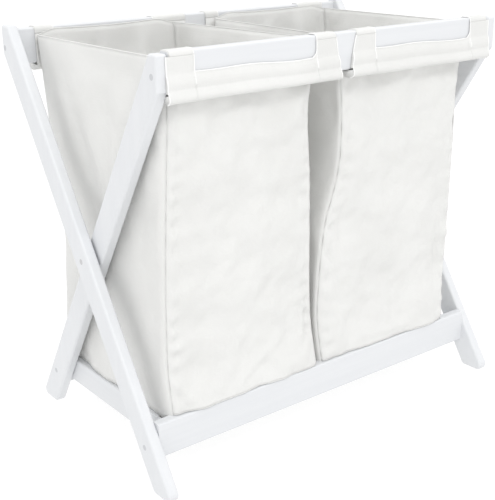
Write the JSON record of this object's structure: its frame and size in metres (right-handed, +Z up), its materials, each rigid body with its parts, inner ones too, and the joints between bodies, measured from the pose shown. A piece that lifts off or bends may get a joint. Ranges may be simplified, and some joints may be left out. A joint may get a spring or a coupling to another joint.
{
  "type": "folding laundry sorter",
  "caption": "Painted wood X-frame laundry sorter that folds flat, with two hanging fabric bags side by side.",
  "frame": {"origin": "on the floor under the middle of the frame", "axes": "+X along the length to the right, +Y to the back, +Z up"},
  "size_m": [0.7, 0.4342, 0.646],
  "materials": {
    "painted_wood": "satin",
    "canvas": "matte",
    "hook_tape": "matte",
    "steel": "brushed",
    "plug": "matte",
    "dowel_wood": "matte"
  },
  "bodies": {
    "outer_frame": {"outer_leg_left": "painted_wood", "outer_leg_right": "painted_wood", "back_top_rail": "painted_wood", "front_bottom_rail": "painted_wood", "pivot_bolt_left": "steel", "pivot_bolt_right": "steel", "pivot_washer_left": "plug", "pivot_washer_right": "plug", "pivot_nut_left": "steel", "pivot_nut_right": "steel", "outer_frame_plugs": "plug", "outer_frame_screws": "steel", "outer_frame_dowels": "dowel_wood", "bar_hinge_fixed_leaf_left": "steel", "bar_hinge_fixed_leaf_right": "steel", "bar_hinge_pin_left": "steel", "bar_hinge_pin_right": "steel", "back_sleeve_left": "canvas", "back_sleeve_right": "canvas", "back_tape_left": "hook_tape", "back_tape_right": "hook_tape", "bag_left": "canvas", "bag_right": "canvas"},
    "inner_frame": {"inner_leg_left": "painted_wood", "inner_leg_right": "painted_wood", "front_top_rail": "painted_wood", "back_bottom_rail": "painted_wood", "inner_frame_plugs": "plug", "inner_frame_screws": "steel", "inner_frame_dowels": "dowel_wood", "front_sleeve_left": "canvas", "front_sleeve_right": "canvas", "front_tape_left": "hook_tape", "front_tape_right": "hook_tape"},
    "bar_left": {"side_bar_left": "painted_wood", "bar_hinge_moving_leaf_left": "steel"},
    "bar_right": {"side_bar_right": "painted_wood", "bar_hinge_moving_leaf_right": "steel"}
  },
  "joints": [
    {"name": "fold", "type": "hinge", "parent": "outer_frame", "child": "inner_frame", "pos_m": [0, 0, 0.313], "axis": [-1, 0, 0], "range_deg": [0, 57], "deforming": ["bag_left", "bag_right"]},
    {"name": "bar_left_hinge", "type": "hinge", "parent": "outer_frame", "child": "bar_left", "pos_m": [-0.3017, -0.1482, 0.0957], "axis": [1, 0, 0], "range_deg": [0, 57]},
    {"name": "bar_right_hinge", "type": "hinge", "parent": "outer_frame", "child": "bar_right", "pos_m": [0.3017, -0.1482, 0.0957], "axis": [1, 0, 0], "range_deg": [0, 57]}
  ],
  "couplings": [
    {"joint": "bar_left_hinge", "follows": "fold", "ratio": 1},
    {"joint": "bar_right_hinge", "follows": "fold", "ratio": 1}
  ]
}
